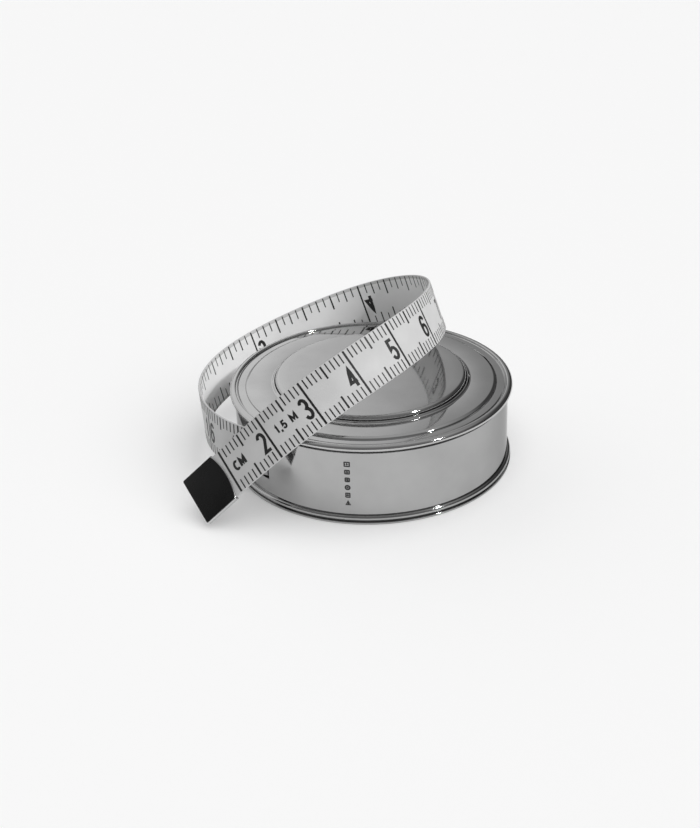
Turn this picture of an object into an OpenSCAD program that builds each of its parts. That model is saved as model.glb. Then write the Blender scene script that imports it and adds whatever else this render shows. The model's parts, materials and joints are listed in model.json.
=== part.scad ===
// Round push-button tape measure in a metal case, with its blade drawn out in a loop over the lid.
// Millimetres, +Z up. The origin is the centre of the base, on the surface that the case stands on.

/* [Case] */
// Outside diameter of the bead round the lid
case_d = 55; // [54.6:0.1:56]
// Height of the seam between the wall and the lid
seam_z = 15.1; // [15:0.05:15.3]
// Thickness of the metal wall
wall_t = 0.8; // [0.6:0.1:0.9]
// Diameter of the push button
button_d = 37.2; // [36:0.2:37.6]
// Height of the button's top face
button_top_z = 17.9; // [17.6:0.1:18.4]
// How far the button goes down
button_travel = 1; // [0.6:0.1:1]

/* [Blade] */
// Width of the blade
blade_w = 9.5; // [9:0.1:9.6]
// Thickness of the blade
blade_t = 0.4; // [0.3:0.05:0.5]
// Height of the middle of the blade where it leaves the case
blade_mid_z = 10; // [9.9:0.05:10.1]
// Length of blade drawn out, from the mouth to the tip of the end tab
drawn_out = 175; // [174.5:0.1:175]
// Direction of the mouth, anticlockwise from +X
mouth_azimuth = 219; // [215:1:223]

/* [Reel] */
// Radius of the wound blade, at the middle of its outermost turn
wrap_r = 22.75; // [22.5:0.05:22.8]
// Outside radius of the drum that the blade is wound on
drum_r = 18.7; // [18:0.1:19]
// Radius of the fixed arbor that the reel turns on
arbor_r = 5; // [4.5:0.1:5.2]
// Radial clearance of each running fit
running_gap = 0.05; // [0.03:0.01:0.08]
// Turns of the flat power spring
spring_turns = 9; // [5:1:10]

/* [End tab] */
// Length of the end tab
tab_l = 8.6; // [8.2:0.1:9]
// Thickness of the end tab
tab_t = 1.2; // [1:0.1:1.2]

/* [Hidden] */
$fn = 96;
eps = 0.01;

// Turning of the blade about its own width, in degrees per millimetre, at distances from its tip
BEND = [[0, 0], [11, 0], [25, 1.7], [37.5, 1.4], [50, 1.95], [62.5, 2.3], [75, 1.85], [87.5, 2.7],
    [100, 3.65], [112.5, 1.15], [125, 1.65], [137.5, 2.65], [150, 2.3], [162.5, 2.55], [175, 3.65]];
// Twist of the blade about its own length, in degrees per millimetre
TWIST = [[0, 0], [11, 0], [12, 0.7], [25, 0.85], [50, 0.95], [75, 0.15], [100, -0.25],
    [125, -0.25], [150, -0.75], [175, 0.3]];

// Radii, from the outside in
rim_r = case_d / 2;
foot_r = rim_r - 0.2;
wall_r = rim_r - 0.9;
wall_in_r = wall_r - wall_t;
skirt_r = wall_in_r - 0.05;
shell_r = wall_in_r - 0.9;
shell_in_r = shell_r - 1;
button_r = button_d / 2;
hole_r = button_r + 0.3;
drum_in_r = drum_r - 1;
stem_r = 2.9;
hub_r = arbor_r + 2;
flange_r = shell_in_r - 0.5;
screw_ring_r = arbor_r + 1;
// The middle of the power spring's strip on its first and last turn
spiral_in_r = arbor_r + 0.8;
spiral_out_r = drum_in_r - 0.8;
// Half the thickness of the power spring's strip
strip_half = 0.15;
// The return spring's coil and its wire
coil_r = 2.3;
wire_r = 0.22;
coil_turns = 4;
coil_steps = 24;
// The guide pins, and the circle that they stand on
pin_r = 0.35;
pin_ring_r = shell_r - 0.5;
pin_out = blade_t / 2 + 0.15 + pin_r;

// Heights, from the base up
base_t = 0.8;
floor_z = 2;
pocket_z = 2.6;
flange_z = 4.6;
flange_top_z = flange_z + 0.5;
shell_seam_z = 8.4;
arbor_top_z = 10.9;
stem_low_z = 6;
cover_z = 13.6;
cover_t = 0.7;
roof_z = seam_z - 0.1;
lid_under_z = seam_z + 0.2;
lid_top_z = 16.7;
// The wall's thin upper lip starts here, and the lid's outer band stands at this height
lip_z = seam_z - 0.48;
band_z = lid_top_z - 0.58;
cap_under_z = button_top_z - 0.6;
cap_low_z = cap_under_z - button_travel - 0.1;
coil_z0 = pocket_z + wire_r + 0.03;
coil_z1 = stem_low_z - wire_r - 0.03;
blade_low_z = blade_mid_z - blade_w / 2;
pin_low_z = blade_low_z - 1.75;

// The end tab: how far its end is from the zero mark, the radius of its inner edge, its width and
// its face, half the height of the pocket that the blade sits in, and the depth of the enamel
tab_tip = 0.7;
tab_arc_r = 13.5;
tab_w = blade_w + 0.5;
tab_face = tab_t / 2;
pocket_half = blade_t / 2 + 0.02;
enamel_t = 0.15;

// The blade is drawn in steps, and stops this many of them short of the tip, inside the folded tab
blade_steps = 70;
blade_step = drawn_out / blade_steps;
inside_tab = 2;

// The blade leaves the coil along a tangent and reaches the outside of the wall after this length
lead = sqrt(wall_r * wall_r - wrap_r * wrap_r);
lead_angle = atan(lead / wrap_r);
tangent_azimuth = mouth_azimuth + lead_angle;

// ---------- helpers ----------

// A ring between two radii and two heights
module ring(r_out, r_in, z0, z1) {
    translate([0, 0, z0]) difference() {
        cylinder(r = r_out, h = z1 - z0);
        translate([0, 0, -1]) cylinder(r = r_in, h = z1 - z0 + 2);
    }
}

// The triangles of a tube swept through rings of points, closed by the first and the last ring
function tube_faces(last, sides) = concat(
    [[for (j = [0 : sides - 1]) j]],
    [[for (j = [sides - 1 : -1 : 0]) last * sides + j]],
    [for (i = [0 : last - 1], j = [0 : sides - 1])
        let (a = i * sides + j, b = i * sides + (j + 1) % sides)
        each [[a, a + sides, b + sides], [a, b + sides, b]]]);

// Puts its children at the tangent point, with X along the blade towards the mouth and Y outward
module at_lead() {
    rotate([0, 0, tangent_azimuth]) translate([wrap_r, 0, 0]) rotate([0, 0, -90]) children();
}

// The straight passage that the blade slides through, as a block to cut away
module passage(width, z0, z1) {
    at_lead() translate([4, -width / 2, z0]) cube([lead + 2, width, z1 - z0]);
}

// One countersunk screw with its head down at z = 0
module screw(head_r, shank_r, length) {
    cylinder(r1 = head_r, r2 = shank_r, h = 0.6);
    cylinder(r = shank_r, h = length);
}

// The three screws that hold the arbor down, from under the lower shell's floor
module screws() {
    for (a = [90, 210, 330]) rotate([0, 0, a]) translate([screw_ring_r, 0, base_t]) screw(1.1, 0.5, 2.2);
}

// ---------- the metal case ----------

module base_plate() {
    color("silver") cylinder(r = wall_in_r, h = base_t);
}

module foot_ring() {
    color("silver") rotate_extrude($fn = 144) intersection() {
        union() {
            translate([foot_r - 0.62, 1.16]) circle(r = 0.56, $fn = 32);
            translate([wall_r, 0]) square([0.2, 1.6]);
            polygon([
                [wall_r, 0], [foot_r - 0.1, 0], [foot_r, 0.1], [foot_r, 0.36], [foot_r - 0.1, 0.46],
                [wall_r, 0.46]]);
        }
        translate([wall_r, 0]) square([2, 3]);
    }
}

module case_wall() {
    color("silver") difference() {
        union() {
            ring(wall_r, wall_in_r, 0, lip_z);
            ring(wall_r - 0.35, wall_in_r, lip_z - eps, seam_z);
        }
        passage(1.6, blade_low_z - 0.35, seam_z + 1);
    }
}

module lid_plate() {
    plate_r = rim_r - 1.2;
    color("silver") difference() {
        rotate_extrude($fn = 144) polygon([
            [hole_r, lid_top_z - 0.6], [hole_r, lid_top_z], [plate_r - 2.65, lid_top_z],
            [plate_r - 2.3, lid_top_z - 0.1], [plate_r - 1.95, lid_top_z - 0.32],
            [plate_r - 1.87, band_z + 0.02], [plate_r - 0.42, band_z], [plate_r - 0.34, band_z - 0.12],
            [plate_r - 0.26, band_z - 0.02], [plate_r, band_z - 0.05], [plate_r, seam_z],
            [skirt_r, seam_z], [skirt_r, seam_z - 1.3], [skirt_r - 0.6, seam_z - 1.3],
            [skirt_r - 0.6, lid_under_z], [plate_r - 2.8, lid_under_z], [plate_r - 3.1, lid_top_z - 0.6]]);
        passage(2.4, 10, lid_under_z - eps);
    }
}

module rim_bead() {
    color("silver") rotate_extrude($fn = 144) intersection() {
        translate([rim_r - 0.65, seam_z + 0.65]) circle(r = 0.65, $fn = 48);
        translate([rim_r - 1.2, seam_z + 0.24]) square([2, 2]);
    }
}

module button_collar() {
    color("silver") rotate_extrude($fn = 144) polygon([
        [hole_r, lid_top_z], [hole_r + 0.6, lid_top_z], [hole_r + 0.35, lid_top_z + 0.1],
        [hole_r + 0.15, lid_top_z + 0.3], [hole_r, lid_top_z + 0.34]]);
}

// ---------- the moulded inner shells ----------

module lower_shell() {
    color("gainsboro") difference() {
        union() {
            translate([0, 0, base_t]) cylinder(r = shell_r, h = floor_z - base_t);
            ring(shell_r, shell_in_r, floor_z - eps, shell_seam_z);
            intersection() {
                ring(wall_in_r - 0.1, shell_in_r, floor_z - eps, blade_low_z - 0.85);
                at_lead() translate([3, -3, 0]) cube([12, 8, 10]);
            }
        }
        passage(2.4, blade_low_z - 0.35, shell_seam_z + 1);
        pins(blade_low_z);
        screws();
    }
}

module upper_shell() {
    color("gainsboro") difference() {
        union() {
            ring(shell_r, hole_r + 0.2, roof_z, lid_under_z);
            ring(shell_r, shell_in_r, shell_seam_z, roof_z + eps);
        }
        passage(2.4, shell_seam_z - 1, roof_z);
    }
}

// How far along the blade a guide pin stands, on the pins' circle
function pin_along(side) = sqrt(pow(pin_ring_r, 2) - pow(wrap_r + side * pin_out, 2));

// The two guide pins, one on each side of the blade, up to a height
module pins(top_z) {
    for (side = [-1, 1])
        at_lead() translate([pin_along(side), side * pin_out, pin_low_z])
            cylinder(r = pin_r, h = top_z - pin_low_z, $fn = 32);
}

module guide_pins() {
    color("silver") pins(roof_z - 0.1);
}

module mouth_guide() {
    color("dimgray") difference() {
        intersection() {
            ring(wall_in_r - 0.05, shell_r + 0.05, blade_low_z - 0.85, seam_z - 1.4);
            at_lead() translate([4, -2.6, 0]) cube([14, 5.6, 20]);
        }
        passage(1.4, blade_low_z - 0.2, seam_z + 1);
    }
}

// ---------- arbor, reel and power spring ----------

module arbor() {
    color("tan") difference() {
        union() {
            translate([0, 0, floor_z]) cylinder(r = arbor_r + 3, h = 1);
            translate([0, 0, floor_z]) cylinder(r = arbor_r + 1.5, h = flange_z - floor_z - 0.4);
            translate([0, 0, floor_z]) cylinder(r = arbor_r, h = arbor_top_z - floor_z);
        }
        translate([0, 0, pocket_z]) cylinder(r = stem_r + running_gap, h = 20);
        screws();
    }
}

module arbor_screws() {
    color("silver") screws();
}

module thrust_washer() {
    color("goldenrod") ring(arbor_r + 1.4, arbor_r + 0.1, flange_z - 0.4, flange_z - 0.05);
}

module reel_drum() {
    color("whitesmoke") {
        ring(flange_r, arbor_r + running_gap, flange_z, flange_top_z);
        ring(hub_r, arbor_r + running_gap, flange_top_z - eps, flange_top_z + 0.7);
        ring(drum_r, drum_in_r, flange_top_z - eps, cover_z + cover_t);
    }
}

module spring_cover() {
    color("silver") ring(drum_in_r, stem_r + running_gap, cover_z, cover_z + cover_t);
}

// The radius of the middle of the power spring's strip at an angle
function spiral_r(angle) = spiral_in_r + (spiral_out_r - spiral_in_r) * angle / (360 * spring_turns);

// One face of the strip, and a list turned end for end
function spiral_edge(side) = [for (a = [0 : 15 : 360 * spring_turns])
    (spiral_r(a) + side * strip_half) * [cos(a), sin(a)]];
function backwards(list) = [for (i = [len(list) - 1 : -1 : 0]) list[i]];

module power_spring() {
    color("steelblue") translate([0, 0, flange_top_z + 0.9]) linear_extrude(height = 5.2)
        polygon(concat(spiral_edge(1), backwards(spiral_edge(-1))));
}

module spring_hook() {
    color("goldenrod") translate([spiral_out_r + strip_half, -0.8, flange_top_z + 1.4])
        cube([drum_in_r - spiral_out_r - strip_half - 0.05, 1.6, 4.4]);
}

module wound_blade() {
    color("white") ring(wrap_r - blade_t / 2 - 0.2, drum_r, blade_low_z, blade_low_z + blade_w);
}

module blade_clip() {
    color("goldenrod") rotate([0, 0, 120]) translate([drum_in_r - 0.9, -2.5, flange_top_z + 1])
        intersection() {
            cube([0.8, 5, 6]);
            translate([0.9 - drum_in_r, 2.5, -1]) cylinder(r = drum_in_r - 0.02, h = 10);
        }
}

// ---------- button, return spring and brake ----------

module button_cap() {
    color("silver") rotate_extrude($fn = 144) polygon([
        [0, cap_under_z], [button_r - 0.9, cap_under_z], [button_r - 0.9, cap_low_z], [button_r, cap_low_z],
        [button_r, button_top_z - 0.78], [button_r - 0.11, button_top_z - 0.39],
        [button_r - 0.4, button_top_z - 0.1], [button_r - 0.8, button_top_z], [0, button_top_z]]);
}

module plunger() {
    color("whitesmoke") {
        translate([0, 0, cap_under_z - 0.7]) cylinder(r = button_r - 0.95, h = 0.7);
        translate([0, 0, stem_low_z]) cylinder(r = stem_r, h = cap_under_z - stem_low_z - 0.3);
    }
}

module brake_disc() {
    color("silver") ring(9.5, stem_r, 12.4, 13);
}

module brake_pad() {
    color("dimgray") ring(9, 6, 13, cover_z - 0.06);
}

module stem_clip() {
    color("goldenrod") ring(stem_r + 0.9, stem_r, 12.1, 12.4);
}

// A round wire wound into a spring, swept as one closed tube
function coil_centre(i) = let (a = 360 * i / coil_steps, f = i / (coil_steps * coil_turns))
    [coil_r * cos(a), coil_r * sin(a), coil_z0 + (coil_z1 - coil_z0) * f];
function coil_ring(i) = let (a = 360 * i / coil_steps, c = coil_centre(i))
    [for (b = [0 : 60 : 300]) c + wire_r * [cos(b) * cos(a), cos(b) * sin(a), sin(b)]];

module return_spring() {
    rings = coil_steps * coil_turns;
    color("silver") polyhedron(
        points = [for (i = [0 : rings]) each coil_ring(i)],
        faces = tube_faces(rings, 6));
}

// ---------- the drawn-out blade ----------

// Rodrigues' rotation of v about the unit axis k by an angle
function turn(v, k, angle) = v * cos(angle) + cross(k, v) * sin(angle) + k * (k * v) * (1 - cos(angle));

// One step of the blade towards its tip: [centre, direction towards the coil, width direction]
function step_back(f, s, h) = let (
        about = lookup(s, TWIST) * f[1] + lookup(s, BEND) * f[2],
        rate = norm(about),
        axis = rate > 0 ? about / rate : [0, 0, 1],
        middle = turn(f[1], axis, -rate * h / 2))
    [f[0] - h * middle, turn(f[1], axis, -rate * h), turn(f[2], axis, -rate * h)];

inward = [-cos(tangent_azimuth - 90), -sin(tangent_azimuth - 90), 0];
mouth = [wall_r * cos(mouth_azimuth), wall_r * sin(mouth_azimuth), blade_mid_z];
FRAMES = [for (i = 0, f = [mouth, inward, [0, 0, 1]]; i <= blade_steps;
    f = step_back(f, drawn_out - (i + 0.5) * blade_step, blade_step), i = i + 1) f];

// The four corners of the blade's section at one frame, and those of its inner end by the coil
function section(f, t, w) = let (n = cross(f[1], f[2]))
    [for (c = [[-1, -1], [1, -1], [1, 1], [-1, 1]]) f[0] + c[0] * t / 2 * n + c[1] * w / 2 * f[2]];
inner_end = [mouth + lead * inward, inward, [0, 0, 1]];

module blade() {
    frames = concat([inner_end], [for (i = [0 : blade_steps - inside_tab]) FRAMES[i]]);
    last = len(frames) - 1;
    color("white") polyhedron(
        points = [for (f = frames) each section(f, blade_t, blade_w)],
        faces = tube_faces(last, 4));
}

// ---------- the end tab: a folded metal plate with an enamelled face ----------

// Puts its children at the tip, with X along the blade, Y across it and Z out of the printed side
module at_tip() {
    f = FRAMES[len(FRAMES) - 1];
    n = cross(f[1], f[2]);
    multmatrix([
        [f[1][0], f[2][0], n[0], f[0][0]],
        [f[1][1], f[2][1], n[1], f[0][1]],
        [f[1][2], f[2][2], n[2], f[0][2]],
        [0, 0, 0, 1]]) children();
}

// The tab's inner edge is an arc that bulges along the blade
module tab_outline(inset) {
    intersection() {
        translate([tab_tip + inset, inset - tab_w / 2]) square([tab_l, tab_w - 2 * inset]);
        translate([tab_tip + tab_l - tab_arc_r, 0]) circle(r = tab_arc_r - inset, $fn = 180);
    }
}

module tab_front() {
    color("silver") at_tip() difference() {
        translate([0, 0, pocket_half]) linear_extrude(height = tab_face - pocket_half) tab_outline(0);
        translate([0, 0, tab_face - enamel_t]) linear_extrude(height = 1) tab_outline(0.15);
    }
}

module tab_back() {
    color("silver") at_tip() difference() {
        translate([0, 0, -tab_face]) linear_extrude(height = tab_face + pocket_half) tab_outline(0);
        translate([inside_tab * blade_step - 0.1, -blade_w / 2 - 0.02, -pocket_half])
            cube([tab_l, blade_w + 0.04, 1]);
        rivets(0.01);
    }
}

module tab_enamel() {
    color("black") at_tip() translate([0, 0, tab_face - enamel_t]) linear_extrude(height = enamel_t)
        tab_outline(0.15);
}

// Two rivets near the tip, with their heads proud of the tab's back
module rivets(z1) {
    for (side = [-1, 1]) translate([2.5, side * 2.6, -tab_face - 0.1])
        cylinder(r = 0.6, h = tab_face + 0.1 + pocket_half + z1, $fn = 32);
}

module tab_rivets() {
    color("silver") at_tip() rivets(0);
}

base_plate();
foot_ring();
case_wall();
lid_plate();
rim_bead();
button_collar();
lower_shell();
upper_shell();
mouth_guide();
guide_pins();
arbor();
arbor_screws();
thrust_washer();
reel_drum();
spring_cover();
power_spring();
spring_hook();
wound_blade();
blade_clip();
button_cap();
plunger();
return_spring();
brake_disc();
brake_pad();
stem_clip();
blade();
tab_front();
tab_back();
tab_enamel();
tab_rivets();
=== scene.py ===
"""Round tape measure in polished metal, with its printed blade looped over the lid."""
import json
import math

import bmesh
import bpy
from mathutils import Matrix, Vector


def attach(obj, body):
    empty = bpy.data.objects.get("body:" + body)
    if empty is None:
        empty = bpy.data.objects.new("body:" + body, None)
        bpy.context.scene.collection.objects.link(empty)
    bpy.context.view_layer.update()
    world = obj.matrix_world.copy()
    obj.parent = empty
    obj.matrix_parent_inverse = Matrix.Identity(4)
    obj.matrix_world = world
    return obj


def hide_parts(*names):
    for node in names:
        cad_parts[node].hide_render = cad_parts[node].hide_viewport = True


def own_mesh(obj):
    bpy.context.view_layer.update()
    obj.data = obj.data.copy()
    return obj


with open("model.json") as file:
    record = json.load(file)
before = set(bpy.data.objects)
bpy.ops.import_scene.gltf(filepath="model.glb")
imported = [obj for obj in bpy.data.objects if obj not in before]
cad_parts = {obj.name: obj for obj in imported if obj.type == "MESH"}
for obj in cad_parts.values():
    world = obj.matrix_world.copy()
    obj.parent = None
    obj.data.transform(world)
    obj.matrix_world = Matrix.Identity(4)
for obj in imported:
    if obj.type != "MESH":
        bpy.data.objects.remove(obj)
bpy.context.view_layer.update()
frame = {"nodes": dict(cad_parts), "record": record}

MM = 0.001

# ---------- sizes, in millimetres, as in the CAD ----------
RIM_R = 27.5
FOOT_R = 27.3
WALL_R = 26.6
WALL_IN_R = 25.8
SKIRT_R = 25.75
SEAM_Z = 15.1
LID_UNDER_Z = 15.3
LID_TOP_Z = 16.7
HOLE_R = 18.9
BUTTON_R = 18.6
BUTTON_TOP_Z = 17.9
PLATE_R = RIM_R - 1.2
SKIRT_T = 0.6
SKIRT_LOW_Z = SEAM_Z - 1.3
SLIT_LOW_Z = 4.9
SLIT_HALF = 0.8
NOTCH_HALF = 1.2
SPRING_R = 2.3
SPRING_WIRE_R = 0.22
SPRING_TURNS = 4
SPRING_LOW_Z = 2.6
SPRING_HIGH_Z = 6.0
BLADE_W = 9.5
BLADE_T = 0.4
BLADE_MID_Z = 10.0
DRAWN_OUT = 175.0
MOUTH_AZIMUTH = 219.0
WRAP_R = 22.75
TAB_TIP = 0.7
TAB_L = 8.6
TAB_W = 10.0
TAB_ARC_R = 13.5
TAB_T = 1.2
LEAD = math.sqrt(WALL_R ** 2 - WRAP_R ** 2)
TANGENT_AZIMUTH = MOUTH_AZIMUTH + math.degrees(math.atan2(LEAD, WRAP_R))

# Turning of the blade about its own width and about its own length: (mm from the tip, degrees per mm)
BEND = [(0, 0), (11, 0), (25, 1.7), (37.5, 1.4), (50, 1.95), (62.5, 2.3), (75, 1.85), (87.5, 2.7),
        (100, 3.65), (112.5, 1.15), (125, 1.65), (137.5, 2.65), (150, 2.3), (162.5, 2.55),
        (175, 3.65)]
TWIST = [(0, 0), (11, 0), (12, 0.7), (25, 0.85), (50, 0.95), (75, 0.15), (100, -0.25),
         (125, -0.25), (150, -0.75), (175, 0.3)]


def lookup(x, table):
    """Linear interpolation in a table of pairs."""
    if x <= table[0][0]:
        return table[0][1]
    for (x0, y0), (x1, y1) in zip(table, table[1:]):
        if x <= x1:
            return y0 + (y1 - y0) * (x - x0) / (x1 - x0)
    return table[-1][1]


# ---------- camera ----------
CAM_DISTANCE = 291.2
CAM_ELEVATION = math.radians(29.32)
CAM_YAW = math.radians(-0.86)
CAM_PITCH = math.radians(1.524)
CAM_ROLL = math.radians(-2.141)
CAM_LENS = 74.8


def make_camera():
    """The camera stands at its distance and height, and is aimed by small turns off the origin."""
    ce, se = math.cos(CAM_ELEVATION), math.sin(CAM_ELEVATION)
    place = Vector((0, -CAM_DISTANCE * ce, CAM_DISTANCE * se))
    forward = Vector((0, ce, -se)) + math.tan(CAM_YAW) * Vector((1, 0, 0))
    forward = (forward + math.tan(CAM_PITCH) * Vector((0, se, ce))).normalized()
    right = forward.cross(Vector((0, 0, 1))).normalized()
    up = right.cross(forward)
    right, up = (math.cos(CAM_ROLL) * right + math.sin(CAM_ROLL) * up,
                 math.cos(CAM_ROLL) * up - math.sin(CAM_ROLL) * right)
    cam = bpy.data.cameras.new("camera")
    cam.sensor_fit = "HORIZONTAL"
    cam.sensor_width = 36
    cam.lens = CAM_LENS
    cam.clip_start = 0.01
    cam.clip_end = 20
    obj = bpy.data.objects.new("camera", cam)
    rows = [[right[i], up[i], -forward[i], place[i] * MM] for i in range(3)]
    obj.matrix_world = Matrix(rows + [[0, 0, 0, 1]])
    bpy.context.scene.collection.objects.link(obj)
    bpy.context.scene.camera = obj


make_camera()


# ---------- materials ----------
class Nodes:
    """A short way to write a material's nodes."""

    def __init__(self, name):
        self.mat = bpy.data.materials.new(name)
        self.mat.use_nodes = True
        self.tree = self.mat.node_tree
        self.shader = self.tree.nodes["Principled BSDF"]
        self.coords = self.tree.nodes.new("ShaderNodeTexCoord").outputs["Object"]

    def put(self, socket, value):
        if isinstance(value, bpy.types.NodeSocket):
            self.tree.links.new(value, socket)
        else:
            socket.default_value = value

    def node(self, kind, values, **settings):
        n = self.tree.nodes.new(kind)
        for key, value in settings.items():
            setattr(n, key, value)
        for key, value in values.items():
            self.put(n.inputs[key], value)
        return n.outputs[0]

    def set(self, **values):
        for key, value in values.items():
            self.put(self.shader.inputs[key.replace("_", " ")], value)

    def stretched(self, scale, turn=(0, 0, 0)):
        return self.node("ShaderNodeMapping", {"Vector": self.coords, "Scale": scale, "Rotation": turn})

    def noise(self, scale, detail=3.0, where=None):
        return self.node("ShaderNodeTexNoise", {
            "Vector": self.coords if where is None else where, "Scale": scale, "Detail": detail})

    def ramp(self, value, low, high, to_low, to_high):
        return self.node("ShaderNodeMapRange", {
            "Value": value, "From Min": low, "From Max": high, "To Min": to_low, "To Max": to_high})

    def mix(self, factor, a, b):
        n = self.tree.nodes.new("ShaderNodeMix")
        n.data_type = "RGBA"
        self.put(n.inputs["Factor"], factor)
        self.put(n.inputs["A"], a)
        self.put(n.inputs["B"], b)
        return n.outputs["Result"]

    def math(self, operation, a, b=0.0):
        n = self.tree.nodes.new("ShaderNodeMath")
        n.operation = operation
        self.put(n.inputs[0], a)
        self.put(n.inputs[1], b)
        return n.outputs[0]

    def bump(self, height, distance, strength=1.0):
        return self.node("ShaderNodeBump", {"Height": height, "Distance": distance, "Strength": strength})

    def radius(self):
        """Distance from the object's axis."""
        parts = self.tree.nodes.new("ShaderNodeSeparateXYZ")
        self.put(parts.inputs[0], self.coords)
        squares = [self.math("MULTIPLY", parts.outputs[i], parts.outputs[i]) for i in (0, 1)]
        return self.math("SQRT", self.math("ADD", *squares))


def grey(value):
    return (value, value, value, 1)


def polished(name, low, high, rough, turned=0.0, edge=1.0):
    """Bright plated metal: cloudy tarnish, fine scratches in two directions, and turning marks."""
    n = Nodes(name)
    cloud = n.noise(95, 4)
    fine = n.noise(900, 2, where=n.stretched((1, 14, 1), (0, 0, 0.5)))
    fine2 = n.noise(700, 2, where=n.stretched((11, 1, 1), (0, 0, 0.2)))
    marks = n.ramp(n.math("MAXIMUM", fine, fine2), 0.62, 0.8, 0, 1)
    n.set(Metallic=1.0, Base_Color=n.mix(n.ramp(cloud, 0.35, 0.68, 0, 1), grey(low), grey(high)),
          Roughness=n.math("ADD", n.ramp(cloud, 0.35, 0.7, rough, rough * 1.6),
                           n.math("MULTIPLY", marks, 0.05)))
    height = n.math("MULTIPLY", marks, 0.35)
    if turned:
        ring = n.node("ShaderNodeTexNoise", {"W": n.math("MULTIPLY", n.radius(), 9000.0),
                                             "Scale": 1.0, "Detail": 2.0}, noise_dimensions="1D")
        height = n.math("ADD", height, n.math("MULTIPLY", ring, turned))
    n.set(Normal=n.bump(height, 0.000002), Specular_Tint=grey(edge))
    return n.mat


def enamel_paint(name, low, high, rough):
    """Baked paint on the blade: slight mottling and rubbed patches."""
    n = Nodes(name)
    cloud = n.noise(160, 5)
    rubbed = n.ramp(n.noise(1500, 3), 0.45, 0.75, 0, 1)
    n.set(Base_Color=n.mix(n.ramp(cloud, 0.3, 0.7, 0, 1), grey(low), grey(high)),
          Roughness=n.ramp(rubbed, 0, 1, rough, rough + 0.12),
          Normal=n.bump(n.noise(2600, 2), 0.000004, 0.6))
    n.set(Specular_IOR_Level=0.3, Coat_Weight=0.05, Coat_Roughness=0.3)
    return n.mat


def ink(name, value, rough):
    """Printing ink, a little worn."""
    n = Nodes(name)
    wear = n.ramp(n.noise(2400, 4), 0.35, 0.75, 0, 1)
    n.set(Base_Color=n.mix(wear, grey(value), grey(value * 2.2 + 0.004)),
          Roughness=n.ramp(wear, 0, 1, rough, rough + 0.15),
          Normal=n.bump(n.noise(3000, 2), 0.000002, 0.5))
    return n.mat


def black_enamel(name):
    """Glossy black enamel with a slightly uneven skin."""
    n = Nodes(name)
    cloud = n.noise(240, 4)
    n.set(Base_Color=n.mix(cloud, grey(0.003), grey(0.007)),
          Roughness=n.ramp(cloud, 0.3, 0.7, 0.2, 0.34),
          Normal=n.bump(n.noise(900, 3), 0.00001, 0.4))
    n.set(Specular_IOR_Level=0.25)
    return n.mat


def moulded(name, low, high, rough):
    """Moulded plastic or rubber with a fine grain."""
    n = Nodes(name)
    cloud = n.noise(120, 4)
    n.set(Base_Color=n.mix(cloud, grey(low), grey(high)),
          Roughness=n.ramp(cloud, 0.3, 0.7, rough, rough + 0.15),
          Normal=n.bump(n.noise(5000, 2), 0.00001, 0.5))
    return n.mat


def worked(name, colour, darker, rough):
    """Plain worked metal for the inner parts, with drawn grain."""
    n = Nodes(name)
    grain = n.noise(400, 3, where=n.stretched((1, 1, 9)))
    n.set(Metallic=1.0, Base_Color=n.mix(grain, colour, darker),
          Roughness=n.ramp(grain, 0.3, 0.7, rough, rough + 0.2),
          Normal=n.bump(grain, 0.00001, 0.4))
    return n.mat


MATERIALS = {
    # The wall's silver is a darker copy of the lid's: painted shade, so that the bright floor mirrors in
    # the wall as dim as a darker floor would
    "case_silver": polished("wall_plate_shaded", 0.41, 0.46, 0.045, edge=0.62),
    "lid_silver": polished("lid_plate_metal", 0.50, 0.57, 0.05, 0.25),
    "button_silver": polished("button_metal", 0.50, 0.56, 0.06, 0.15),
    "tab_metal": polished("tab_plate", 0.60, 0.68, 0.16),
    "tab_enamel": black_enamel("tab_black"),
    "blade_tape": enamel_paint("blade_white", 0.50, 0.56, 0.55),
    "shell_plastic": moulded("shell_grey", 0.42, 0.5, 0.45),
    "reel_plastic": moulded("reel_white", 0.6, 0.7, 0.4),
    "guide_plastic": moulded("guide_black", 0.015, 0.03, 0.4),
    "steel": worked("plain_steel", (0.55, 0.56, 0.57, 1), (0.42, 0.43, 0.44, 1), 0.25),
    "spring_steel": worked("blue_steel", (0.22, 0.25, 0.32, 1), (0.15, 0.17, 0.22, 1), 0.3),
    "brass": worked("turned_brass", (0.72, 0.53, 0.25, 1), (0.58, 0.41, 0.18, 1), 0.25),
    "brake_rubber": moulded("brake_black", 0.02, 0.035, 0.7),
}
INCH_PAINT = enamel_paint("blade_white_back", 0.76, 0.82, 0.55)
INK = ink("print_black", 0.006, 0.42)
INCH_INK = ink("print_black_back", 0.012, 0.5)
STAMP = ink("stamp_dark", 0.015, 0.5)

NODE_SLOTS = {s["node"]: s["material_slot"] for s in frame["record"]["subparts"]}
for node_name, obj in frame["nodes"].items():
    obj.data.materials.clear()
    obj.data.materials.append(MATERIALS[NODE_SLOTS[node_name]])


# ---------- mesh helpers ----------
SHARP_ANGLE = math.radians(32)
LATHE_SIDES = 256


def make_object(name, verts, faces, slot, body, replaced=(), material=None):
    """A piece from points in millimetres, shaded smooth except at its sharp edges."""
    mesh = bpy.data.meshes.new(name)
    mesh.from_pydata([[c * MM for c in v] for v in verts], [], faces)
    bm = bmesh.new()
    bm.from_mesh(mesh)
    bmesh.ops.recalc_face_normals(bm, faces=bm.faces)
    bm.to_mesh(mesh)
    bm.free()
    mesh.shade_smooth()
    mesh.set_sharp_from_angle(angle=SHARP_ANGLE)
    obj = bpy.data.objects.new(name, mesh)
    bpy.context.scene.collection.objects.link(obj)
    mesh.materials.append(material or MATERIALS[slot])
    if replaced:
        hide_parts(*replaced)
    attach(obj, body)
    return obj


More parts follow.
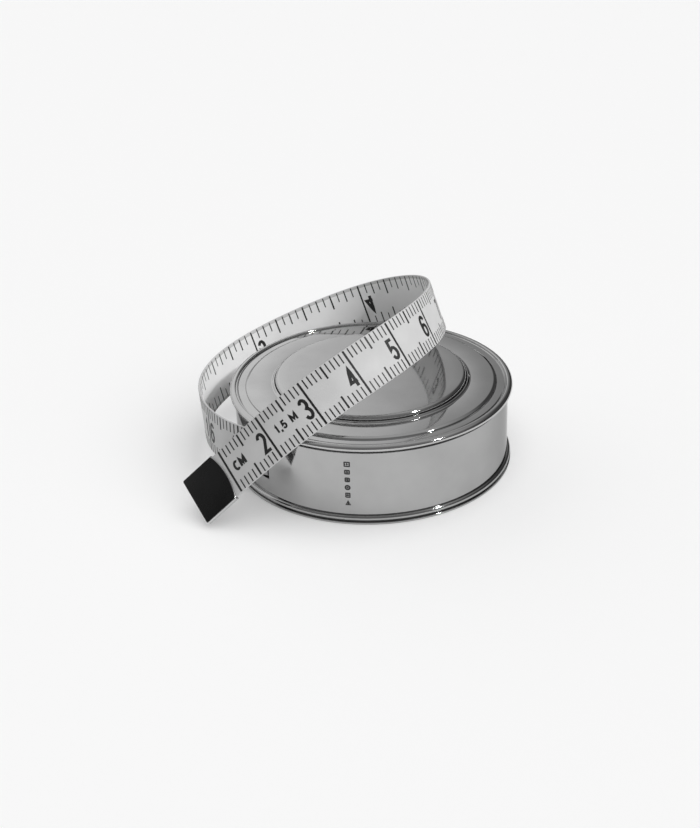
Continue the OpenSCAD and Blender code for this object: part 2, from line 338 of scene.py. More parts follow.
def fillet(corners, steps):
    """Points of a closed outline from (x, y, radius) corners, each rounded by an arc."""
    out = []
    count = len(corners)
    for i, (x, y, r) in enumerate(corners):
        if r <= 0:
            out.append((x, y))
            continue
        here = Vector((x, y))
        back = Vector(corners[i - 1][:2]) - here
        on = Vector(corners[(i + 1) % count][:2]) - here
        half = back.angle(on) / 2
        reach = min(r / math.tan(half), back.length * 0.49, on.length * 0.49)
        r = reach * math.tan(half)
        middle = here + (back.normalized() + on.normalized()).normalized() * (r / math.sin(half))
        a = here + back.normalized() * reach - middle
        b = here + on.normalized() * reach - middle
        turn = a.angle_signed(b)
        for k in range(steps + 1):
            t = -turn * k / steps
            c, s = math.cos(t), math.sin(t)
            out.append((middle.x + a.x * c - a.y * s, middle.y + a.x * s + a.y * c))
    return out


def arc(cx, cy, r, start, end, steps):
    """Points of an arc in degrees."""
    return [(cx + r * math.cos(math.radians(start + (end - start) * k / steps)),
             cy + r * math.sin(math.radians(start + (end - start) * k / steps)))
            for k in range(steps + 1)]


def lathe(outline):
    """Points and faces of a closed (radius, height) outline turned about Z."""
    verts, faces = [], []
    count = len(outline)
    for j in range(LATHE_SIDES):
        a = 2 * math.pi * j / LATHE_SIDES
        verts += [(r * math.cos(a), r * math.sin(a), z) for r, z in outline]
    for j in range(LATHE_SIDES):
        k = (j + 1) % LATHE_SIDES
        faces += [(j * count + i, k * count + i, k * count + (i + 1) % count, j * count + (i + 1) % count)
                  for i in range(count)]
    return verts, faces


def lathe_disc(outline):
    """Like lathe, for an outline that starts and ends on the axis: those two ends become fans."""
    verts, faces = [(0, 0, outline[0][1]), (0, 0, outline[-1][1])], []
    rings = outline[1:-1]
    count = len(rings)
    for j in range(LATHE_SIDES):
        a = 2 * math.pi * j / LATHE_SIDES
        verts += [(r * math.cos(a), r * math.sin(a), z) for r, z in rings]
    for j in range(LATHE_SIDES):
        k = (j + 1) % LATHE_SIDES
        p, q = 2 + j * count, 2 + k * count
        faces.append((0, p, q))
        faces.append((1, q + count - 1, p + count - 1))
        faces += [(p + i, p + i + 1, q + i + 1, q + i) for i in range(count - 1)]
    return verts, faces


# ---------- the metal case ----------
def base_plate():
    """The pressed base, with a shallow bead near its edge."""
    outline = [(0, 0.8), (WALL_IN_R, 0.8), (WALL_IN_R, 0.12), (WALL_IN_R - 0.12, 0), (24.6, 0),
               (24.4, 0.16), (23.9, 0.16), (23.7, 0.02), (0, 0.02)]
    verts, faces = lathe_disc(outline)
    make_object("base_plate_turned", verts, faces, "case_silver", "case", ["base_plate"])


def foot_ring():
    """A turned foot: a round bead against the wall, a narrow groove, and a thin round edge."""
    outline = ([(WALL_R, 0)] + arc(FOOT_R - 0.2, 0.2, 0.2, -90, 0, 6)
               + arc(FOOT_R - 0.12, 0.34, 0.12, 0, 90, 4)
               + [(FOOT_R - 0.5, 0.47), (FOOT_R - 0.5, 0.6)]
               + arc(FOOT_R - 0.62, 1.16, 0.56, -68, 97, 20) + [(WALL_R, 1.73)])
    verts, faces = lathe(outline)
    make_object("foot_bead", verts, faces, "case_silver", "case", ["foot_ring"])


def slit_azimuth(r, y):
    """Azimuth of the point at radius r that lies y to the side of the blade's straight lead."""
    along = math.sqrt(r * r - (WRAP_R + y) ** 2)
    return math.radians(TANGENT_AZIMUTH - math.degrees(math.atan2(along, WRAP_R + y)))


def case_wall():
    """The wall is a closed shell of columns. The slit's sides follow the blade's lead."""
    columns, across = 240, 6
    outer = [slit_azimuth(WALL_R, SLIT_HALF), slit_azimuth(WALL_R, -SLIT_HALF) + 2 * math.pi]
    inner = [slit_azimuth(WALL_IN_R, SLIT_HALF), slit_azimuth(WALL_IN_R, -SLIT_HALF) + 2 * math.pi]

    def pair(t):
        return outer[0] + (outer[1] - outer[0]) * t, inner[0] + (inner[1] - inner[0]) * t

    def over_slit(t):
        return (outer[1] + (outer[0] + 2 * math.pi - outer[1]) * t,
                inner[1] + (inner[0] + 2 * math.pi - inner[1]) * t)

    angles = [pair(i / columns) for i in range(columns + 1)]
    angles += [over_slit(i / across) for i in range(1, across)]
    total = len(angles)
    lip_z, lip_inset, bevel = SEAM_Z - 0.48, 0.35, 0.05
    levels = [0, SLIT_LOW_Z, 7.5, 10, 12.5, lip_z - 0.06, lip_z, lip_z, SEAM_Z]
    inset = [0, 0, 0, 0, 0, 0, bevel, lip_inset, lip_inset]
    verts, faces = [], []
    for z, cut in zip(levels, inset):
        for a, b in angles:
            verts.append(((WALL_R - cut) * math.cos(a), (WALL_R - cut) * math.sin(a), z))
            verts.append((WALL_IN_R * math.cos(b), WALL_IN_R * math.sin(b), z))
    top = len(levels) - 1

    def v(level, column, side):
        return (level * total + column % total) * 2 + side

    for level in range(top):
        spans = range(total) if level == 0 else range(columns)
        for j in spans:
            faces.append((v(level, j, 0), v(level, j + 1, 0), v(level + 1, j + 1, 0), v(level + 1, j, 0)))
            faces.append((v(level, j, 1), v(level + 1, j, 1), v(level + 1, j + 1, 1), v(level, j + 1, 1)))
        if level > 0:
            for j in (0, columns):
                faces.append((v(level, j, 0), v(level, j, 1), v(level + 1, j, 1), v(level + 1, j, 0)))
    for j in range(total):
        faces.append((v(0, j, 0), v(0, j, 1), v(0, j + 1, 1), v(0, j + 1, 0)))
        level = top if j < columns else 1
        faces.append((v(level, j, 0), v(level, j + 1, 0), v(level, j + 1, 1), v(level, j, 1)))
    obj = make_object("wall_shell", verts, faces, "case_silver", "case", ["case_wall"])
    # The slit has no columns above its floor, so the points there belong to no face
    used = {i for f in faces for i in f}
    bm = bmesh.new()
    bm.from_mesh(obj.data)
    bm.verts.ensure_lookup_table()
    bmesh.ops.delete(bm, geom=[bm.verts[i] for i in range(len(verts)) if i not in used], context="VERTS")
    bm.to_mesh(obj.data)
    bm.free()


def lid_plate():
    """The pressed lid: a broad flat ring, a soft shoulder down to the rim band, and a fine groove."""
    r = PLATE_R
    top = LID_TOP_Z
    band = top - 0.58
    corners = [
        (HOLE_R, top - 0.6, 0), (HOLE_R, top, 0.05), (r - 2.5, top - 0.05, 0.6),
        (r - 1.95, top - 0.28, 0.3), (r - 1.86, band + 0.03, 0.06), (r - 1.6, band + 0.03, 0.06),
        (r - 0.5, band, 0.05), (r - 0.3, band - 0.2, 0.03), (r - 0.2, band - 0.04, 0.04),
        (r, band - 0.05, 0), (r, SEAM_Z + 0.01, 0), (SKIRT_R, SEAM_Z + 0.01, 0), (SKIRT_R, LID_UNDER_Z, 0),
        (r - 2.8, LID_UNDER_Z, 0), (r - 3.1, top - 0.6, 0)]
    verts, faces = lathe(fillet(corners, 6))
    make_object("lid_pressed", verts, faces, "lid_silver", "case", ["lid_plate"])


def lid_skirt():
    """The lid's skirt stands inside the wall, and is notched where the blade passes."""
    columns, inner_r = 200, SKIRT_R - SKIRT_T
    outer = [slit_azimuth(SKIRT_R, NOTCH_HALF), slit_azimuth(SKIRT_R, -NOTCH_HALF) + 2 * math.pi]
    inner = [slit_azimuth(inner_r, NOTCH_HALF), slit_azimuth(inner_r, -NOTCH_HALF) + 2 * math.pi]
    verts, faces = [], []
    for i in range(columns + 1):
        t = i / columns
        a = outer[0] + (outer[1] - outer[0]) * t
        b = inner[0] + (inner[1] - inner[0]) * t
        for z in (SKIRT_LOW_Z, LID_UNDER_Z - 0.005):
            verts.append((SKIRT_R * math.cos(a), SKIRT_R * math.sin(a), z))
            verts.append((inner_r * math.cos(b), inner_r * math.sin(b), z))
    for i in range(columns):
        p, q = i * 4, i * 4 + 4
        faces += [(p, q, q + 2, p + 2), (p + 1, p + 3, q + 3, q + 1), (p, p + 1, q + 1, q),
                  (p + 2, q + 2, q + 3, p + 3)]
    faces += [(0, 2, 3, 1), (columns * 4, columns * 4 + 1, columns * 4 + 3, columns * 4 + 2)]
    make_object("lid_skirt", verts, faces, "lid_silver", "case")


def rim_bead():
    """The rolled edge of the lid: flat on top, full outside, and undercut over the wall."""
    wide, high = 0.85, 0.65
    outside = [(RIM_R - wide * (1 - x), SEAM_Z + high * (1 + y)) for x, y in arc(0, 0, 1, 90, -20, 24)]
    outline = ([(PLATE_R, SEAM_Z + 0.86)] + arc(RIM_R - 0.97, SEAM_Z + 1.1, 0.2, 170, 95, 6) + outside
               + [(RIM_R - 0.2, SEAM_Z + 0.34), (RIM_R - 0.5, SEAM_Z + 0.27), (PLATE_R, SEAM_Z + 0.24)])
    verts, faces = lathe(outline)
    make_object("rim_bead_turned", verts, faces, "lid_silver", "case", ["rim_bead"])


def button_collar():
    """A low step round the button, hollowed out to meet the ring."""
    low, high, inner = LID_TOP_Z - 0.02, LID_TOP_Z + 0.34, BUTTON_R + 0.16
    corners = [(inner, low, 0), (inner + 0.66, low, 0), (inner + 0.62, low + 0.06, 0.03),
               (inner + 0.42, low + 0.1, 0.12), (inner + 0.2, high - 0.03, 0.1), (inner, high, 0.04)]
    verts, faces = lathe(fillet(corners[::-1], 5))
    make_object("collar_turned", verts, faces, "lid_silver", "case", ["button_collar"])


def button_cap():
    """The button: a flat disc with a soft, full shoulder."""
    top, under, low = BUTTON_TOP_Z, BUTTON_TOP_Z - 0.6, BUTTON_TOP_Z - 1.7
    wide, drop, inner, flat = 0.8, 0.78, BUTTON_R - 1.0, 9
    edge = [(BUTTON_R - wide * (1 - x), top - drop * (1 - y)) for x, y in arc(0, 0, 1, 0, 90, 16)]
    outline = ([(0, under - 0.3), (inner, under - 0.3), (inner, low), (BUTTON_R, low)] + edge
               + [(BUTTON_R - 2.5, top), (flat, top), (0, top)])
    verts, faces = lathe_disc(outline)
    make_object("button_turned", verts, faces, "button_silver", "button", ["button_cap"])


def return_spring():
    """The button's coil spring stands in the arbor, and the stem above it presses it short."""
    wire, gap, per_turn, ring = SPRING_WIRE_R, 0.03, 32, 10
    length = SPRING_HIGH_Z - SPRING_LOW_Z
    steps = SPRING_TURNS * per_turn
    rise = (length - 2 * (wire + gap)) / steps
    slope = rise * per_turn / (2 * math.pi * SPRING_R)
    verts, faces = [], []
    for i in range(steps + 1):
        a = 2 * math.pi * i / per_turn
        outward = Vector((math.cos(a), math.sin(a), 0))
        upward = Vector((slope * math.sin(a), -slope * math.cos(a), 1)).normalized()
        middle = SPRING_R * outward + Vector((0, 0, SPRING_LOW_Z + wire + gap + rise * i))
        for k in range(ring):
            b = 2 * math.pi * k / ring
            verts.append(tuple(middle + wire * (math.cos(b) * outward + math.sin(b) * upward)))
    for i in range(steps):
        p, q = i * ring, i * ring + ring
        faces += [(p + k, q + k, q + (k + 1) % ring, p + (k + 1) % ring) for k in range(ring)]
    faces += [tuple(range(ring)), tuple(range(len(verts) - 1, len(verts) - ring - 1, -1))]
    coil = make_object("return_spring_coil", verts, faces, "spring_steel", "case", ["return_spring"])
    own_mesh(coil)


base_plate()
foot_ring()
case_wall()
lid_plate()
lid_skirt()
rim_bead()
button_collar()
button_cap()
return_spring()


# ---------- stamped marks on the wall ----------
STAMP_AZIMUTH = 259.6
STAMP_PITCH = 1.62
STAMP_TOP = 12.3
STAMP_LINE = 0.31
STAMP_LEVELS = (-0.02, 0.012)


def wall_point(across, z, out):
    """A point on the wall, out of its face, from a distance round it and a height."""
    a = math.radians(STAMP_AZIMUTH) + across / WALL_R
    return ((WALL_R + out) * math.cos(a), (WALL_R + out) * math.sin(a), z)


def inner_outline(points, line):
    """The inner outline of a shape that is drawn with a line of this thickness."""
    out = []
    for x, y in points:
        share = 1 - line / math.hypot(x, y)
        out.append((x * share, y * share))
    return out


def superellipse(rx, ry, power, steps=28):
    """An outline between an ellipse and a rectangle: the higher the power, the squarer."""
    pts = []
    for k in range(steps):
        a = 2 * math.pi * k / steps
        c, s = math.cos(a), math.sin(a)
        pts.append((rx * math.copysign(abs(c) ** (2 / power), c),
                    ry * math.copysign(abs(s) ** (2 / power), s)))
    return pts


def stamps():
    """Six plain little frames, one above the other."""
    triangle, cuts = [], 8
    corners = [(-0.55, -0.5), (0.55, -0.5), (0, 0.6)]
    for a, b in zip(corners, corners[1:] + corners[:1]):
        triangle += [(a[0] + (b[0] - a[0]) * t / cuts, a[1] + (b[1] - a[1]) * t / cuts)
                     for t in range(cuts)]
    shapes = [superellipse(0.6, 0.55, 9), superellipse(0.55, 0.5, 5), superellipse(0.52, 0.5, 4),
              superellipse(0.56, 0.56, 2), superellipse(0.5, 0.55, 7), triangle]
    verts, faces = [], []
    for i, shape in enumerate(shapes):
        z = STAMP_TOP - i * STAMP_PITCH
        count, base = len(shape), len(verts)
        for out in STAMP_LEVELS:
            verts += [wall_point(x, z + y, out) for x, y in shape + inner_outline(shape, STAMP_LINE)]
        for k in range(count):
            m = (k + 1) % count
            a, b, c, d = base + k, base + m, base + count + m, base + count + k
            up = 2 * count
            faces += [(a, b, c, d), (a + up, d + up, c + up, b + up), (a, a + up, b + up, b),
                      (d, c, c + up, d + up)]
        sides, base = 16, len(verts)
        for out in STAMP_LEVELS:
            verts += [wall_point(x, z + y, out) for x, y in superellipse(0.2, 0.2, 2 + i % 3, sides)]
        faces += [tuple(range(base, base + sides)),
                  tuple(range(base + 2 * sides - 1, base + sides - 1, -1))]
        for k in range(sides):
            a, b = base + k, base + (k + 1) % sides
            faces.append((a, b, b + sides, a + sides))
    make_object("stamp_marks", verts, faces, "case_silver", "case", material=STAMP)


stamps()


# ---------- the drawn-out blade ----------
# The CAD turns the blade once every CAD_STEP. This blade has a section every STEP along the same path.
CAD_STEP = 2.5
STEP = 0.5


def blade_frames():
    """Frames (distance from the tip, centre, way to the coil, width) from the mouth to the tip."""
    a = math.radians(MOUTH_AZIMUTH)
    t = math.radians(TANGENT_AZIMUTH - 90)
    centre = Vector((WALL_R * math.cos(a), WALL_R * math.sin(a), BLADE_MID_Z))
    inward, up = Vector((-math.cos(t), -math.sin(t), 0)), Vector((0, 0, 1))
    frames = [(DRAWN_OUT + LEAD, centre + LEAD * inward, inward, up), (DRAWN_OUT, centre, inward, up)]
    fine = round(CAD_STEP / STEP)
    for i in range(round(DRAWN_OUT / CAD_STEP)):
        s = DRAWN_OUT - (i + 0.5) * CAD_STEP
        about = lookup(s, TWIST) * inward + lookup(s, BEND) * up
        rate = about.length
        axis = about / rate if rate > 0 else Vector((0, 0, 1))
        start = (centre, inward, up)
        for k in range(1, fine + 1):
            length = CAD_STEP * k / fine
            angle = math.radians(rate * length)
            half, full = Matrix.Rotation(-angle / 2, 3, axis), Matrix.Rotation(-angle, 3, axis)
            centre = start[0] - length * (half @ start[1])
            inward, up = full @ start[1], full @ start[2]
            frames.append((DRAWN_OUT - i * CAD_STEP - length, centre, inward, up))
    return frames


FRAMES = blade_frames()
TIP = FRAMES[-1]


def on_blade(s, w, out):
    """A point at a distance from the tip, across the width, and out of the printed side."""
    if s >= DRAWN_OUT:
        i, f = 0, (DRAWN_OUT + LEAD - s) / LEAD
    else:
        place = (DRAWN_OUT - s) / STEP
        i = min(int(place), len(FRAMES) - 3)
        f = place - i
        i += 1
    a, b = FRAMES[i], FRAMES[i + 1]
    centre = a[1].lerp(b[1], f)
    along = a[2].lerp(b[2], f).normalized()
    width = a[3].lerp(b[3], f).normalized()
    return centre + w * width + out * along.cross(width).normalized()


def blade():
    """The steel strip with its rounded edges, closed at both ends."""
    half_w, half_t, r, under_tab = BLADE_W / 2, BLADE_T / 2, 0.17, 4.9
    inside = [half_w * (k / 7 - 1) for k in range(1, 14)]
    right = arc(half_w - r, -half_t + r, r, -90, 0, 3) + arc(half_w - r, half_t - r, r, 0, 90, 3)
    left = [(-w, -t) for w, t in right]
    section = ([(w, -half_t) for w in inside] + right + [(-w, half_t) for w in inside] + left)
    stops = [f[0] for f in FRAMES if f[0] >= under_tab]
    verts, faces = [], []
    count = len(section)
    for s in stops:
        verts += [tuple(on_blade(s, w, t)) for w, t in section]
    for i in range(len(stops) - 1):
        p, q = i * count, (i + 1) * count
        faces += [(p + k, p + (k + 1) % count, q + (k + 1) % count, q + k) for k in range(count)]
    faces += [tuple(range(count)), tuple(range(len(verts) - 1, len(verts) - count - 1, -1))]
    obj = make_object("blade_strip", verts, faces, "blade_tape", "blade", ["blade"])
    obj.data.materials.append(INCH_PAINT)
    for polygon in obj.data.polygons:
        if max(v % count for v in polygon.vertices) < len(inside):
            polygon.material_index = 1


blade()


# ---------- the print on the blade ----------
PRINT_EDGE = BLADE_W / 2 - 0.14
PRINT_SUNK = 0.03
PRINT_PROUD = 0.012
INCH = 25.4
# Height, width and stroke of the numerals on the two sides, and how far they stand before their line
CM_NUMERAL = (4.0, 1.6, 0.62)
CM_BEFORE = 1.4
INCH_NUMERAL = (3.8, 1.6, 0.64)
INCH_BEFORE = 1.5


class Print:
    """Flat marks that stand a hair out of one side of the blade, each a closed thin slab."""

    def __init__(self, side):
        self.side = side
        self.verts, self.faces = [], []

    def at(self, s, w, level):
        height = BLADE_T / 2 + (PRINT_PROUD if level else -PRINT_SUNK)
        return tuple(on_blade(s, w, self.side * height))

    def strip(self, left, right, closed=False):
        """A band between two lines of (s, w) points."""
        base, count = len(self.verts), len(left)
        for level in (0, 1):
            for a, b in zip(left, right):
                self.verts += [self.at(*a, level), self.at(*b, level)]
        up = 2 * count
        spans = count if closed else count - 1
        for k in range(spans):
            m = (k + 1) % count
            a, b, c, d = base + 2 * k, base + 2 * k + 1, base + 2 * m + 1, base + 2 * m
            self.faces += [(a, b, c, d), (a + up, d + up, c + up, b + up), (a, d, d + up, a + up),
                           (b, b + up, c + up, c)]
        if not closed:
            end = base + 2 * (count - 1)
            self.faces += [(base, base + up, base + 1 + up, base + 1),
                           (end, end + 1, end + 1 + up, end + up)]

    def bar(self, s, w0, w1, thick):
        """A tick: a straight bar across the blade."""
        half = thick / 2
        self.strip([(s - half, w0), (s - half, w1)], [(s + half, w0), (s + half, w1)])

    def edge_ticks(self, s, length, thick):
        """The same tick at both edges of the blade."""
        self.bar(s, PRINT_EDGE - length, PRINT_EDGE, thick)
        self.bar(s, -PRINT_EDGE, length - PRINT_EDGE, thick)

    def stroke(self, points, thick, closed=False):
        """A line of constant thickness through (s, w) points, with mitred corners."""
        pts = [Vector(p) for p in points]
        count = len(pts)
        left, right = [], []
        for i, p in enumerate(pts):
            before = pts[i - 1] if i > 0 or closed else None
            after = pts[(i + 1) % count] if i < count - 1 or closed else None
            a = (p - before).normalized() if before is not None else (after - p).normalized()
            b = (after - p).normalized() if after is not None else a
            way = (a + b).normalized()
            side = Vector((-way.y, way.x)) * (thick / 2 / max(0.45, way.dot(a)))
            left.append(tuple(p + side))
            right.append(tuple(p - side))
        self.strip(left, right, closed)

    def glyph(self, shape, s, w, size, width, thick, turned):
        """A numeral or letter with its middle at (s, w). Unit strokes run 0 to 1 both ways."""
        flip = -1 if turned else 1
        for closed, line in shape:
            pts = [(s + flip * (x - 0.5) * width, w + flip * (y - 0.5) * size)
                   for x, y in finer(line, closed)]
            self.stroke(pts, thick, closed)

    def make(self, name, material):
        make_object(name, self.verts, self.faces, "blade_tape", "blade", material=material)


def finer(line, closed):
    """The same line with its long straight stretches cut, so that it bends with the blade."""
    out = []
    pairs = list(zip(line, line[1:] + line[:1])) if closed else list(zip(line, line[1:]))
    for a, b in pairs:
        cuts = max(1, math.ceil(math.hypot(b[0] - a[0], b[1] - a[1]) / 0.3))
        out += [(a[0] + (b[0] - a[0]) * k / cuts, a[1] + (b[1] - a[1]) * k / cuts) for k in range(cuts)]
    return out if closed else out + [line[-1]]


def bow(cx, cy, rx, ry, start, end, steps=9):
    """An open stretch of an ellipse."""
    return [(cx + rx * math.cos(math.radians(start + (end - start) * k / steps)),
             cy + ry * math.sin(math.radians(start + (end - start) * k / steps)))
            for k in range(steps + 1)]


def loop(cx, cy, rx, ry):
    """A whole ellipse."""
    steps = 18
    return [(cx + rx * math.cos(2 * math.pi * k / steps), cy + ry * math.sin(2 * math.pi * k / steps))
            for k in range(steps)]


# Each glyph is a list of lines: whether the line is closed, and its points in a unit square
GLYPHS = {
    "0": [(True, bow(0.5, 0.68, 0.4, 0.28, 0, 180) + bow(0.5, 0.32, 0.4, 0.28, 180, 360))],
    "1": [(False, [(0.22, 0.72), (0.42, 0.8), (0.58, 0.96), (0.58, 0.0)])],
    "2": [(False, bow(0.48, 0.7, 0.38, 0.26, 165, -25) + [(0.14, 0.05), (0.92, 0.05)])],
    "3": [(False, bow(0.46, 0.73, 0.36, 0.23, 160, -75) + bow(0.46, 0.27, 0.4, 0.24, 75, -165))],
    "4": [(False, [(0.7, 0.0), (0.7, 0.93), (0.08, 0.26), (0.96, 0.26)])],
    "5": [(False, [(0.86, 0.95), (0.24, 0.95), (0.16, 0.5)] + bow(0.48, 0.31, 0.38, 0.27, 120, -160))],
    "6": [(True, loop(0.5, 0.3, 0.38, 0.27)),
          (False, bow(0.52, 0.62, 0.4, 0.34, 30, 180, 8) + [(0.12, 0.3)])],
    "7": [(False, [(0.1, 0.95), (0.88, 0.95), (0.56, 0.5), (0.38, 0.0)])],
    "8": [(True, loop(0.5, 0.72, 0.33, 0.23)), (True, loop(0.5, 0.26, 0.39, 0.24))],
    "9": [(True, loop(0.5, 0.7, 0.38, 0.27)),
          (False, bow(0.48, 0.38, 0.4, 0.34, 210, 360, 8) + [(0.88, 0.7)])],
    "C": [(False, bow(0.52, 0.5, 0.42, 0.46, 48, 312, 14))],
    "M": [(False, [(0.08, 0.0), (0.08, 0.95), (0.5, 0.25), (0.92, 0.95), (0.92, 0.0)])],
    ",": [(False, [(0.55, 0.12), (0.55, 0.0), (0.42, -0.2)])],
}

# Widths of the glyphs in the rows of small lettering
WIDTHS = {"1": 0.5, ",": 0.25, " ": 0.4, "M": 1.25, "C": 1.1, "5": 0.85}


def row_of(mark, text, s, w, size, gap, thick):
    """A row of glyphs along the blade whose middle is at (s, w)."""
    total = sum(WIDTHS[c] for c in text) + gap * (len(text) - 1)
    at = s - total / 2
    for letter in text:
        if letter != " ":
            mark.glyph(GLYPHS[letter], at + WIDTHS[letter] / 2, w, size, WIDTHS[letter], thick, False)
        at += WIDTHS[letter] + gap


def centimetre_side():
    """Millimetre ticks at both edges, a bold line at each centimetre, and the numerals."""
    mark = Print(1)
    for mm in range(10, int(DRAWN_OUT + LEAD)):
        if mm % 10 == 0:
            mark.bar(mm, -PRINT_EDGE, PRINT_EDGE, 0.42)
        elif mm % 5 == 0:
            mark.edge_ticks(mm, 2.6, 0.36)
        else:
            mark.edge_ticks(mm, 2.0, 0.25)
    for cm in range(2, 18):
        # A second digit stands on the other side of the line
        for digit, place in zip(str(cm), (-CM_BEFORE, CM_BEFORE)):
            mark.glyph(GLYPHS[digit], cm * 10 + place, -0.2, *CM_NUMERAL, False)
    row_of(mark, "CM", 12.6, 0.0, 1.75, 0.32, 0.48)
    row_of(mark, "1,5 M", 24.2, 0.1, 1.55, 0.34, 0.37)
    mark.make("print_cm", INK)


def inch_side():
    """Sixteenths of an inch, with the numerals the other way up."""
    mark = Print(-1)
    for k in range(8, int((DRAWN_OUT + LEAD) / INCH * 16)):
        s = k * INCH / 16
        if k % 16 == 0:
            mark.bar(s, -PRINT_EDGE, PRINT_EDGE, 0.34)
        elif k % 4 == 0:
            mark.edge_ticks(s, 3.1, 0.32)
        elif k % 2 == 0:
            mark.edge_ticks(s, 2.5, 0.26)
        else:
            mark.edge_ticks(s, 2.0, 0.22)
    for n in range(1, 7):
        mark.glyph(GLYPHS[str(n)], n * INCH - INCH_BEFORE, 0.0, *INCH_NUMERAL, True)
    mark.make("print_inch", INCH_INK)


centimetre_side()
inch_side()


# ---------- the end tab ----------
def at_tip(x, y, z):
    """A point in the tab's own frame: along the blade from the tip, across it, out of its face."""
    _, centre, along, width = TIP
    return tuple(centre + x * along + y * width + z * along.cross(width))


def tab_outline(inset, corner):
    """The tab's outline: a square end at the tip and an arc that bulges along the blade."""
    half = TAB_W / 2 - inset
    r = TAB_ARC_R - inset
    centre = TAB_TIP + TAB_L - TAB_ARC_R
    end = TAB_TIP + inset
    lift = math.degrees(math.asin(half / r))
    curve = arc(centre, 0, r, -lift, lift, 24)
    square = fillet([curve[-1] + (0,), (end, half, corner), (end, -half, corner), curve[0] + (0,)], 5)
    return curve[:-1] + square[:-1]


def slab(outlines):
    """Closed slab from a stack of outlines (points, height) with the same number of points."""
    verts, faces = [], []
    count = len(outlines[0][0])
    for pts, z in outlines:
        verts += [at_tip(x, y, z) for x, y in pts]
    for level in range(len(outlines) - 1):
        a, b = level * count, (level + 1) * count
        faces += [(a + k, a + (k + 1) % count, b + (k + 1) % count, b + k) for k in range(count)]
    faces += [tuple(range(count - 1, -1, -1)), tuple(range(len(verts) - count, len(verts)))]
    return verts, faces


def rounded_stack(z0, z1, edge, corner, inset=0.0):
    """Outlines from z0 to z1 with rounded upper and lower edges."""
    steps = 4
    rounding = []
    for k in range(steps + 1):
        a = math.pi / 2 * k / steps
        rounding.append((tab_outline(inset + edge * (1 - math.sin(a)), corner), edge * (1 - math.cos(a))))
    return ([(outline, z0 + rise) for outline, rise in rounding]
            + [(outline, z1 - rise) for outline, rise in reversed(rounding)])


def tab():
    """The bright plate folded over the blade's end, with a black face let into its front, and a black face
    on its back that is painted shade.
    """
    face = TAB_T / 2
    verts, faces = slab(rounded_stack(-face, face - 0.12, 0.14, 0.35))
    make_object("tab_plate", verts, faces, "tab_metal", "blade", ["tab_front", "tab_back"])
    verts, faces = slab(rounded_stack(face - 0.16, face, 0.05, 0.3, inset=0.16))
    make_object("tab_face", verts, faces, "tab_enamel", "blade", ["tab_enamel"])
    # Painted shade: a black face on the tab's back stands in for the shadow under the tab near the floor,
    # and for the dark reflection of it in the wall
    verts, faces = slab(rounded_stack(-face - 0.02, -face + 0.1, 0.05, 0.3, inset=0.3))
    make_object("tab_back_painted_shade", verts, faces, "tab_enamel", "blade")


def tab_rivets():
    """Two low rivet heads on the tab's back."""
    face = TAB_T / 2
    verts, faces = [], []
    for side in (-1, 1):
        base, ring = len(verts), 24
        levels = [(0.6, -face + 0.05), (0.6, -face - 0.03), (0.5, -face - 0.08), (0.25, -face - 0.1)]
        for r, z in levels:
            verts += [at_tip(2.5 + r * math.cos(2 * math.pi * k / ring),
                             side * 2.6 + r * math.sin(2 * math.pi * k / ring), z) for k in range(ring)]
        for level in range(len(levels) - 1):
            a, b = base + level * ring, base + (level + 1) * ring
            faces += [(a + k, b + k, b + (k + 1) % ring, a + (k + 1) % ring) for k in range(ring)]
        faces += [tuple(range(base, base + ring)), tuple(range(len(verts) - 1, len(verts) - ring - 1, -1))]
    make_object("tab_rivet_heads", verts, faces, "tab_metal", "blade", ["tab_rivets"])


tab()
tab_rivets()


# ---------- floor, light and surroundings ----------
FLOOR_HALF = 3.0
LIGHT_AIM = Vector((0, 0, 0.01))


def floor():
    """A plain pale floor."""
    h = FLOOR_HALF
    mesh = bpy.data.meshes.new("floor")
    mesh.from_pydata([(-h, -h, 0), (h, -h, 0), (h, h, 0), (-h, h, 0)], [], [(0, 1, 2, 3)])
    obj = bpy.data.objects.new("floor", mesh)
    bpy.context.scene.collection.objects.link(obj)
    n = Nodes("floor_paper")
    n.set(Base_Color=n.mix(n.noise(3), grey(0.78), grey(0.79)), Roughness=0.9)
    n.set(Specular_IOR_Level=0.1, Emission_Color=grey(1.0), Emission_Strength=0.15)
    mesh.materials.append(n.mat)
    return obj


def area_light(name, place, size, power):
    """A round lamp that is aimed at the object."""
    light = bpy.data.lights.new(name, "AREA")
    light.shape = "DISK"
    light.size = size
    light.energy = power
    obj = bpy.data.objects.new(name, light)
    obj.location = place
    obj.rotation_euler = (LIGHT_AIM - Vector(place)).to_track_quat("-Z", "Y").to_euler()
    bpy.context.scene.collection.objects.link(obj)
    return obj


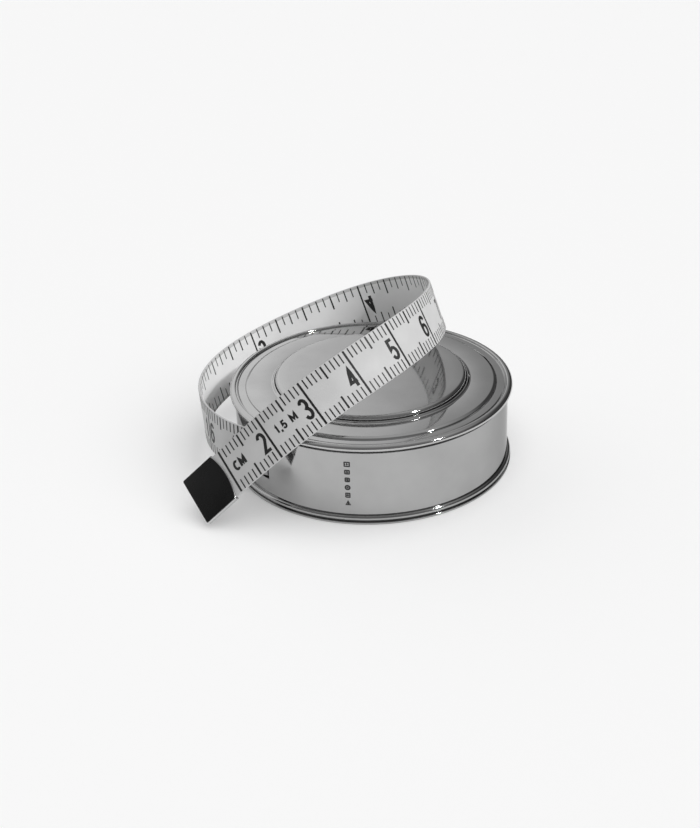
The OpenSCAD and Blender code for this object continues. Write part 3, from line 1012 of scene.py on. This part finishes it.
def surroundings():
    """What the metal mirrors: a studio that is bright behind on the left, grey behind on the right, dim on
    the camera's side, and darker along the horizon. The camera itself sees a pale backdrop."""
    world = bpy.data.worlds.new("studio")
    bpy.context.scene.world = world
    world.use_nodes = True
    tree = world.node_tree
    out = tree.nodes["Background"]
    coords = tree.nodes.new("ShaderNodeTexCoord").outputs["Generated"]
    parts = tree.nodes.new("ShaderNodeSeparateXYZ")
    tree.links.new(coords, parts.inputs[0])

    def math_node(op, a, b):
        n = tree.nodes.new("ShaderNodeMath")
        n.operation = op
        for socket, value in zip(n.inputs, (a, b)):
            if isinstance(value, bpy.types.NodeSocket):
                tree.links.new(value, socket)
            else:
                socket.default_value = value
        return n.outputs[0]

    def ramp(value, a, b, to_a, to_b):
        n = tree.nodes.new("ShaderNodeMapRange")
        n.interpolation_type = "SMOOTHSTEP"
        tree.links.new(value, n.inputs["Value"])
        n.inputs["From Min"].default_value = a
        n.inputs["From Max"].default_value = b
        n.inputs["To Min"].default_value = to_a
        n.inputs["To Max"].default_value = to_b
        return n.outputs[0]

    x, y, z = parts.outputs
    overhead_level, camera_side_level, backdrop_level = 0.5, 0.21, 0.92
    far_side = ramp(y, -0.5, 0.2, 0.0, 1.0)
    across = math_node("ADD", ramp(x, -0.11, 0.11, 0.54, 0.0), ramp(x, 0.1, 0.42, 0.34, 0.07))
    overhead = ramp(z, 0.55, 0.95, 0.0, 1.0)
    far = math_node("ADD", math_node("MULTIPLY", across, math_node("SUBTRACT", 1.0, overhead)),
                    math_node("MULTIPLY", overhead, overhead_level))
    near = math_node("MULTIPLY", math_node("SUBTRACT", 1.0, far_side), camera_side_level)
    level = math_node("ADD", math_node("MULTIPLY", far, far_side), near)
    clear_left = math_node("MULTIPLY", far_side, ramp(x, -0.5, -0.1, 0.75, 0.0))
    horizon = math_node("MAXIMUM", ramp(z, 0.08, 0.26, 0.02, 1.0), clear_left)
    level = math_node("MULTIPLY", level, horizon)
    seen = tree.nodes.new("ShaderNodeLightPath").outputs["Is Camera Ray"]
    backdrop = math_node("MULTIPLY", seen, math_node("SUBTRACT", backdrop_level, level))
    tree.links.new(math_node("ADD", level, backdrop), out.inputs["Strength"])
    out.inputs["Color"].default_value = (1, 1, 1, 1)


def only_lights(light, receivers, name):
    """Light linking: the lamp shines on these objects alone."""
    group = bpy.data.collections.new(name)
    for obj in receivers:
        group.objects.link(obj)
    light.light_linking.receiver_collection = group


def lights(floor_obj):
    """A wide soft sun for the floor, two soft boxes for the object (on the right and in front), and a
    small bright lamp for the glints on the metal. The soft boxes don't show in the metal."""
    things = [o for o in bpy.context.scene.objects if o.type == "MESH" and o is not floor_obj]
    sun = bpy.data.lights.new("floor_sun", "SUN")
    sun.angle = math.radians(90)
    sun.energy = 2.24
    sun_obj = bpy.data.objects.new("floor_sun", sun)
    sun_obj.rotation_euler = (math.radians(16), math.radians(24), 0)
    bpy.context.scene.collection.objects.link(sun_obj)
    only_lights(sun_obj, [floor_obj], "floor_only")
    key = area_light("key_box", (0.86, -0.06, 0.86), 0.4, 7.4)
    fill = area_light("fill_box", (-0.3, -1.0, 0.45), 0.6, 1.9)
    for soft in (key, fill):
        soft.visible_glossy = False
    only_lights(key, things, "key_group")
    only_lights(fill, things, "fill_group")
    glint = area_light("glint_lamp", (0.38, -0.214, 0.442), 0.045, 1.4)
    only_lights(glint, things, "glint_group")


surroundings()
lights(floor())
bpy.context.scene.view_settings.view_transform = "Standard"
